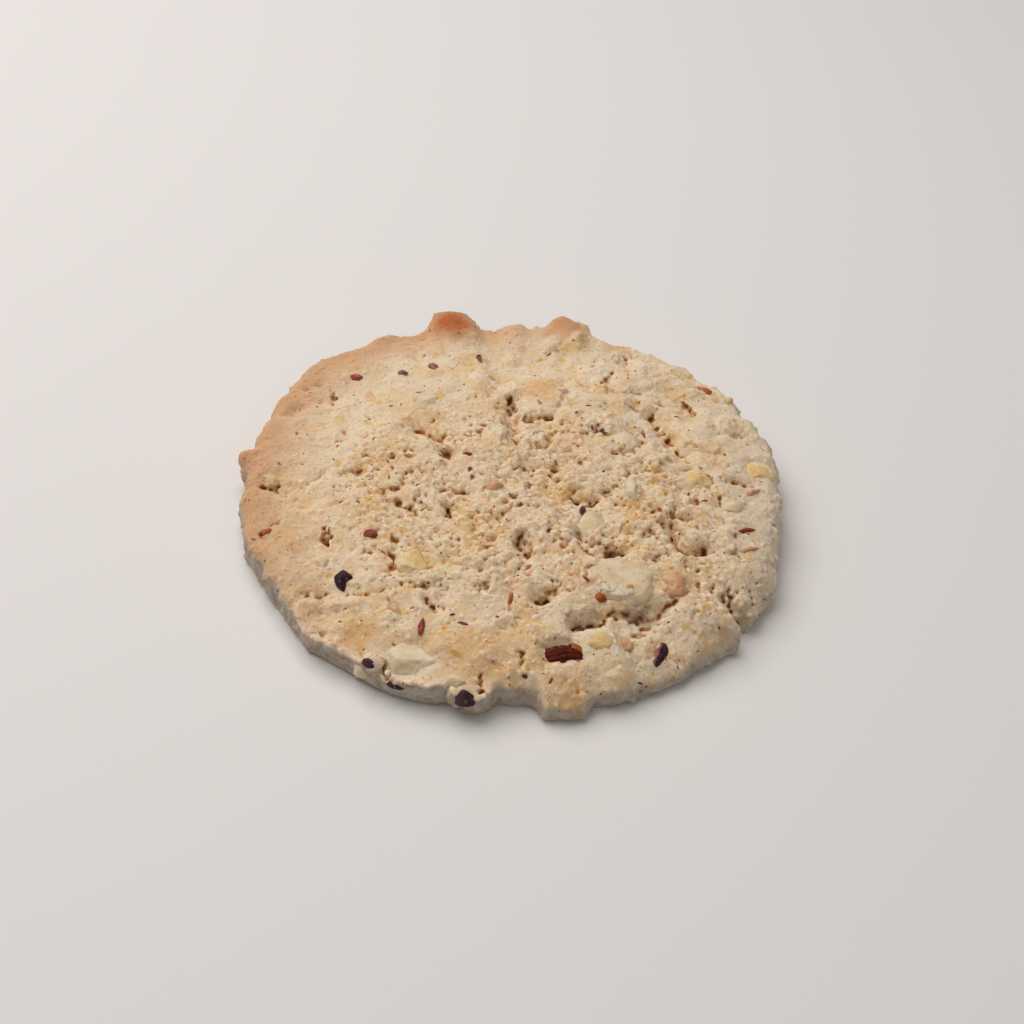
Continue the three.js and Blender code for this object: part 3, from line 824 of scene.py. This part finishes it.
# %% Make the nut finishes
def nut_surface(name, pale, deep, streak, roughness):
    """A nut surface: two tones in 2 mm patches, streaks of a third, a little stuck crumb and a fine grain."""
    sockets = {
        "Roughness": roughness,
        "Specular IOR Level": 0.2,
        "Subsurface Weight": 0.3,
        "Subsurface Radius": (1.0, 0.6, 0.35),
        "Subsurface Scale": 0.6 * MM,
    }
    material, tree, shader, places = new_finish(name, sockets)
    layers = [
        (patches(tree, places, 2.0, 0.38, 0.62), deep),
        (patches(tree, places, 0.6, 0.58, 0.7, detail=4.0, offset=3.0), streak),
        (patches(tree, places, 0.7, 0.62, 0.8, detail=3.0, offset=11.0), "#DCC8A8"),
    ]
    tree.links.new(coats(tree, pale, layers), shader.inputs["Base Color"])
    grain_settings = {"Vector": places, "Scale": per_metre(0.4), "Detail": 3.0}
    grain = add_node(tree, "ShaderNodeTexNoise", grain_settings).outputs[0]
    relief = {"Height": grain, "Strength": 0.3, "Distance": 0.15 * MM}
    tree.links.new(add_node(tree, "ShaderNodeBump", relief).outputs[0], shader.inputs["Normal"])
    return material


nut_finish = {
    "cream": nut_surface("peanut_flesh_blanched", "#E3D4B9", "#DBC49C", "#D0B488", 0.55),
    "yellow": nut_surface("peanut_flesh_roasted", "#E6D3A6", "#DFBF80", "#D1A668", 0.55),
    "red": nut_surface("peanut_skin_red_brown", "#9C4C42", "#84382E", "#B87C66", 0.55),
    "pink": nut_surface("peanut_skin_thin", "#D9B592", "#CE9C74", "#B4683A", 0.55),
    "orange": nut_surface("peanut_skin_toasted", "#B8662C", "#9A4A1C", "#CC8448", 0.5),
    "purple": nut_surface("peanut_skin_dark", "#5C343C", "#341A26", "#8C5C5C", 0.55),
    "torn": nut_surface("peanut_skin_torn", "#A87870", "#744A50", "#B89C98", 0.6),
    "brown": nut_surface("nut_skin_brown", "#5C1604", "#420C02", "#6E2608", 0.75),
}
# A dark piece is a crumpled shell with the dark skin all round. A purple one shows torn skin in its cuts.
nut_finish["dark"] = nut_finish["purple"]
cut_finish = {"purple": "torn"}
print("nut finishes:", ", ".join(finish.name for finish in nut_finish.values()))

# %% [markdown]
# ## Chopped nuts
# A nut piece could be sculpted, but a knife is quicker: a sphere is cut by a few planes and each cut is
# filled, just as a chopped kernel shows flat faces beside its round skin. It is remeshed, and the faces that
# lie in a cut get the finish of a cut. Two cloud textures make the surface uneven, less so on a small piece.
# Each nut is then turned, set in its seat and has that applied, so that its place is in its mesh, and the
# nuts of one skin are joined into one piece.

# %% Chop, set and join the nuts
NUT_VOXEL = 0.06
CUT_MARGIN = 0.04
GROOVE_SPACING, GROOVE_DEPTH = 0.55, 0.05
nut_clouds = bpy.data.textures.new("nut_clouds", "CLOUDS")
nut_clouds.noise_scale = 1.3 * MM
nut_grain = bpy.data.textures.new("nut_grain", "CLOUDS")
nut_grain.noise_scale = 0.45 * MM


def chop_nut(skin, half_sizes, cuts, voxel):
    """A chopped nut at the origin, half_sizes in millimetres, from a sphere remeshed at radius one."""
    bpy.ops.object.select_all(action="DESELECT")
    bpy.ops.mesh.primitive_ico_sphere_add(subdivisions=4, radius=1, location=(0, 0, 0))
    nut = bpy.context.object
    knives = [(Vector((x, y, z)).normalized(), distance) for x, y, z, distance in cuts]
    bpy.ops.object.mode_set(mode="EDIT")
    for knife, distance in knives:
        bpy.ops.mesh.select_all(action="SELECT")
        bpy.ops.mesh.bisect(plane_co=knife * distance, plane_no=knife, use_fill=True, clear_outer=True)
    bpy.ops.object.mode_set(mode="OBJECT")
    apply_modifier(nut, "REMESH", mode="VOXEL", voxel_size=voxel)
    bare = [
        any(face.center.dot(knife) > distance - CUT_MARGIN for knife, distance in knives)
        for face in nut.data.polygons
    ]
    nut.data.materials.append(nut_finish[skin])
    nut.data.materials.append(nut_finish[cut_finish.get(skin, skin)])
    nut.data.polygons.foreach_set("material_index", np.array(bare, dtype=np.int32))
    apply_modifier(nut, "SMOOTH", factor=0.5, iterations=6)
    nut.scale = [size * MM for size in half_sizes]
    bpy.ops.object.transform_apply(scale=True)
    lumps = 0.3 * MM * math.sqrt(min(half_sizes))
    grain = 0.06 * (min(half_sizes) * MM)
    apply_modifier(nut, "DISPLACE", texture=nut_clouds, strength=lumps, texture_coords="LOCAL")
    apply_modifier(nut, "DISPLACE", texture=nut_grain, strength=grain, texture_coords="LOCAL")
    bpy.ops.object.shade_smooth()
    return nut


def groove_nut(nut):
    """Press grooves along a nut, as in the skin of a dried kernel."""
    points, normals = mesh_points(nut)
    wave = np.sin(2 * math.pi * points[:, 1] / GROOVE_SPACING + 1.5 * clouds(points, 1.2, 50))
    move_points(nut, points + GROOVE_DEPTH * normals * wave[:, None])


def set_down(nut, centre, turn_degrees, up=Vector((0, 0, 1))):
    """Turn a nut about its own upright, tilt that to up, move it to its centre and apply all three."""
    spin = Matrix.Rotation(math.radians(turn_degrees), 4, "Z")
    tilt = up.to_track_quat("Z", "Y").to_matrix().to_4x4() if up.z < 0.999 else Matrix()
    nut.matrix_world = Matrix.Translation(Vector(centre) * MM) @ tilt @ spin
    take_up(nut)
    bpy.ops.object.transform_apply(location=True, rotation=True, scale=True)


def join_pieces(name, pieces):
    """Join several objects into one."""
    take_up(pieces[0])
    for piece in pieces:
        piece.select_set(True)
    bpy.ops.object.join()
    pieces[0].name = name
    return pieces[0]


nuts_by_skin = {}
for skin, centre, half_sizes, angle, cuts, _, _ in seats:
    nut = chop_nut(skin, half_sizes, cuts, NUT_VOXEL)
    if skin == "brown":
        groove_nut(nut)
    set_down(nut, centre, angle)
    nuts_by_skin.setdefault(skin, []).append(nut)
nut_pieces = [join_pieces(f"{skin}_nuts", nuts) for skin, nuts in nuts_by_skin.items()]
for piece in nut_pieces:
    print(piece.name, len(piece.data.polygons), "faces")

# %% [markdown]
# ## Splinters and flecks of skin
# Chopping also makes splinters a millimetre long and flecks of papery skin, and they end up all through the
# dough. The splinters that stand out are listed like the nuts and chopped the same way, then laid flat on the
# crumb and sunk halfway. The flecks are hundreds, so each is the crumpled shape of twenty faces that the
# grains have, drawn out flat, and all are one mesh.

# %% Lay the listed splinters on the crumb
# Skin, place in plan, half length, half width, half thickness and turn.
SPLINTERS = [
    ("orange", 8.7, -28.0, 1.0, 0.7, 0.5, 10),
    ("cream", -4.9, -34.4, 1.3, 0.7, 0.6, -5),
    ("red", -9.6, -27.2, 1.3, 0.45, 0.4, 105),
    ("orange", 11.3, -20.8, 0.8, 0.75, 0.5, 0),
    ("pink", 14.8, -19.5, 0.5, 0.5, 0.4, 0),
    ("red", 29.6, -4.8, 1.4, 0.35, 0.4, -35),
    ("pink", 29.8, -8.7, 1.6, 0.4, 0.4, 85),
    ("pink", 30.8, 2.6, 1.3, 0.35, 0.4, 15),
    ("red", -6.3, 2.3, 0.9, 0.35, 0.35, -10),
    ("purple", -6.4, 24.0, 0.8, 0.45, 0.4, 80),
    ("torn", -12.4, 20.8, 1.1, 0.7, 0.4, 60),
    ("torn", -16.3, 18.7, 0.8, 0.5, 0.4, 10),
    ("red", -22.7, -13.2, 1.2, 0.4, 0.5, 85),
    ("orange", -30.0, -12.0, 1.2, 0.4, 0.4, 45),
    ("pink", 14.8, -26.2, 1.0, 0.9, 0.5, 0),
    ("purple", -5.8, -0.5, 0.5, 0.35, 0.3, 0),
    ("red", 16.3, 11.1, 1.0, 0.35, 0.3, -15),
    ("purple", 11.0, 10.4, 0.9, 0.35, 0.3, 25),
    ("yellow", 28.0, 22.3, 0.9, 0.7, 0.6, 0),
    ("orange", 25.0, 23.6, 1.4, 0.6, 0.4, -35),
    ("yellow", -31.0, -2.5, 1.4, 0.8, 0.6, 10),
    ("red", -4.7, -26.8, 1.0, 0.2, 0.25, -15),
    ("orange", 0.6, -23.0, 1.5, 0.3, 0.3, 12),
    ("purple", 8.7, -6.0, 1.4, 0.5, 0.35, 80),
    ("purple", 9.6, -24.6, 1.2, 0.4, 0.4, 15),
    ("orange", 9.4, -18.6, 0.6, 0.3, 0.3, 40),
]
SPLINTER_VOXEL = 0.1


def crumb_below(x, y):
    """Place and normal of the crumb's surface below a place in plan, in millimetres."""
    above = Vector((x * MM, y * MM, 2 * cad_high.z))
    _, place, normal, _ = crumb.ray_cast(above, Vector((0, 0, -1)))
    return place / MM, normal


splinters_by_skin = {}
for skin, x, y, length, width, thick, angle in SPLINTERS:
    place, normal = crumb_below(x, y)
    lean = (normal + Vector((0, 0, 1))).normalized()
    splinter = chop_nut(skin, (length, width, thick), seeded_cuts(), SPLINTER_VOXEL)
    set_down(splinter, place, angle, lean)
    splinters_by_skin.setdefault(skin, []).append(splinter)
splinter_pieces = [join_pieces(f"{skin}_splinters", group) for skin, group in splinters_by_skin.items()]
print("splinters:", len(SPLINTERS), "in", len(splinter_pieces), "pieces")

# %% Scatter the flecks
SCATTER = random.Random(19)
FLECKS_ON_TOP = 260
FLECKS_ON_WALL = 70
TOP_REACH = 34.5
LOWEST, HIGHEST = 0.6, 5.0


def random_spot():
    """A place and normal on the top of the crumb, more often where it is crumbly."""
    while True:
        reach = TOP_REACH * math.sqrt(SCATTER.random())
        angle = SCATTER.uniform(0, 2 * math.pi)
        place, normal = crumb_below(reach * math.cos(angle), reach * math.sin(angle))
        if SCATTER.random() < crumbliness(np.array([place]))[0]:
            return place, normal


def random_wall_spot():
    """A place and normal anywhere on the wall of the crumb."""
    angle = SCATTER.uniform(0, 2 * math.pi)
    outward = Vector((math.cos(angle), math.sin(angle), 0))
    outside = outward * 2 * cad_high.x + Vector((0, 0, SCATTER.uniform(LOWEST, HIGHEST) * MM))
    _, place, normal, _ = crumb.ray_cast(outside, -outward)
    return place / MM, normal


def crumpled(place, normal, half_sizes):
    """The points of one crumpled little shape lying on the surface."""
    along = normal.orthogonal().normalized()
    along.rotate(Matrix.Rotation(SCATTER.uniform(0, 2 * math.pi), 3, normal))
    axes = (along, normal.cross(along), normal)
    points = []
    for corner in SEED_POINTS:
        swell = SCATTER.uniform(0.7, 1.3)
        shift = sum((axes[k] * corner[k] * half_sizes[k] * swell for k in range(3)), Vector())
        points.append(place + shift)
    return points


def scatter_piece(name, finishes, draws):
    """One mesh of many crumpled shapes: draws gives each one's spot, half sizes and finish number."""
    points, faces, numbers = [], [], []
    for (place, normal), half_sizes, number in draws:
        start = len(points)
        points += crumpled(place, normal, half_sizes)
        faces.append(SEED_FACES + start)
        numbers += [number] * len(SEED_FACES)
    piece = mesh_piece(name, np.array(points), np.concatenate(faces))
    piece.data.polygons.foreach_set("material_index", numbers)
    for finish in finishes:
        piece.data.materials.append(finish)
    return piece


def fleck_draw(spot):
    """Half sizes and finish of a fleck: most are short and red-brown."""
    length = 0.13 + 0.5 * SCATTER.random() ** 4
    number = SCATTER.choices([0, 1, 2, 3], [44, 10, 24, 22])[0]
    return spot, (length, 0.1 + 0.12 * SCATTER.random(), 0.07), number


fleck_draws = [fleck_draw(random_spot()) for _ in range(FLECKS_ON_TOP)]
fleck_draws += [fleck_draw(random_wall_spot()) for _ in range(FLECKS_ON_WALL)]
fleck_finishes = [nut_finish[skin] for skin in ("red", "purple", "orange", "pink")]
flecks = scatter_piece("skin_flecks", fleck_finishes, fleck_draws)
print(len(fleck_draws), "flecks")

# %% [markdown]
# ## What stands for what
# The crumb stands for the one solid. It and all the nuts, splinters and flecks ride on its only body.

# %% Tie the pieces to the solid
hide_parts("cookie")
cookie_pieces = [crumb, *nut_pieces, *splinter_pieces, flecks]
for piece in cookie_pieces:
    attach(piece, "root")
print(len(cookie_pieces), "pieces ride on the cookie's body")

# %% [markdown]
# ## Floor and light
# A plain pale floor and soft light: a large panel above and behind the cookie, so that the wall towards the
# viewer falls into shade, and a weak fill from the front.

# %% Lay the floor and hang the lights
FLOOR_DROP = 0.05 * MM

bpy.ops.object.select_all(action="DESELECT")
bpy.ops.mesh.primitive_plane_add(size=4, location=(0, 0, -FLOOR_DROP))
floor = bpy.context.object
floor.name = "floor"
floor_finish, _, _, _ = new_finish("pale_floor", {"Base Color": linear("#E8E8E8"), "Roughness": 0.9})
floor.data.materials.append(floor_finish)


def hang_light(name, place, size, power, colour):
    """A square soft panel at a place in millimetres, aimed at the cookie."""
    bpy.ops.object.select_all(action="DESELECT")
    bpy.ops.object.light_add(type="AREA", location=[v * MM for v in place])
    lamp = bpy.context.object
    lamp.name = name
    lamp.data.size = size * MM
    lamp.data.energy = power
    lamp.data.color = linear(colour)[:3]
    lamp.rotation_euler = lamp.location.to_track_quat("Z", "Y").to_euler()


hang_light("key", (-190, 130, 430), 500, 2.27, "#FFF8F4")
hang_light("fill", (150, -350, 400), 500, 0.25, "#FFF8F0")

world = bpy.data.worlds.new("studio")
bpy.context.scene.world = world
world.use_nodes = True
world.node_tree.nodes["Background"].inputs["Color"].default_value = linear("#FFF8F2")
world.node_tree.nodes["Background"].inputs["Strength"].default_value = 0.2
bpy.context.scene.view_settings.view_transform = "Standard"
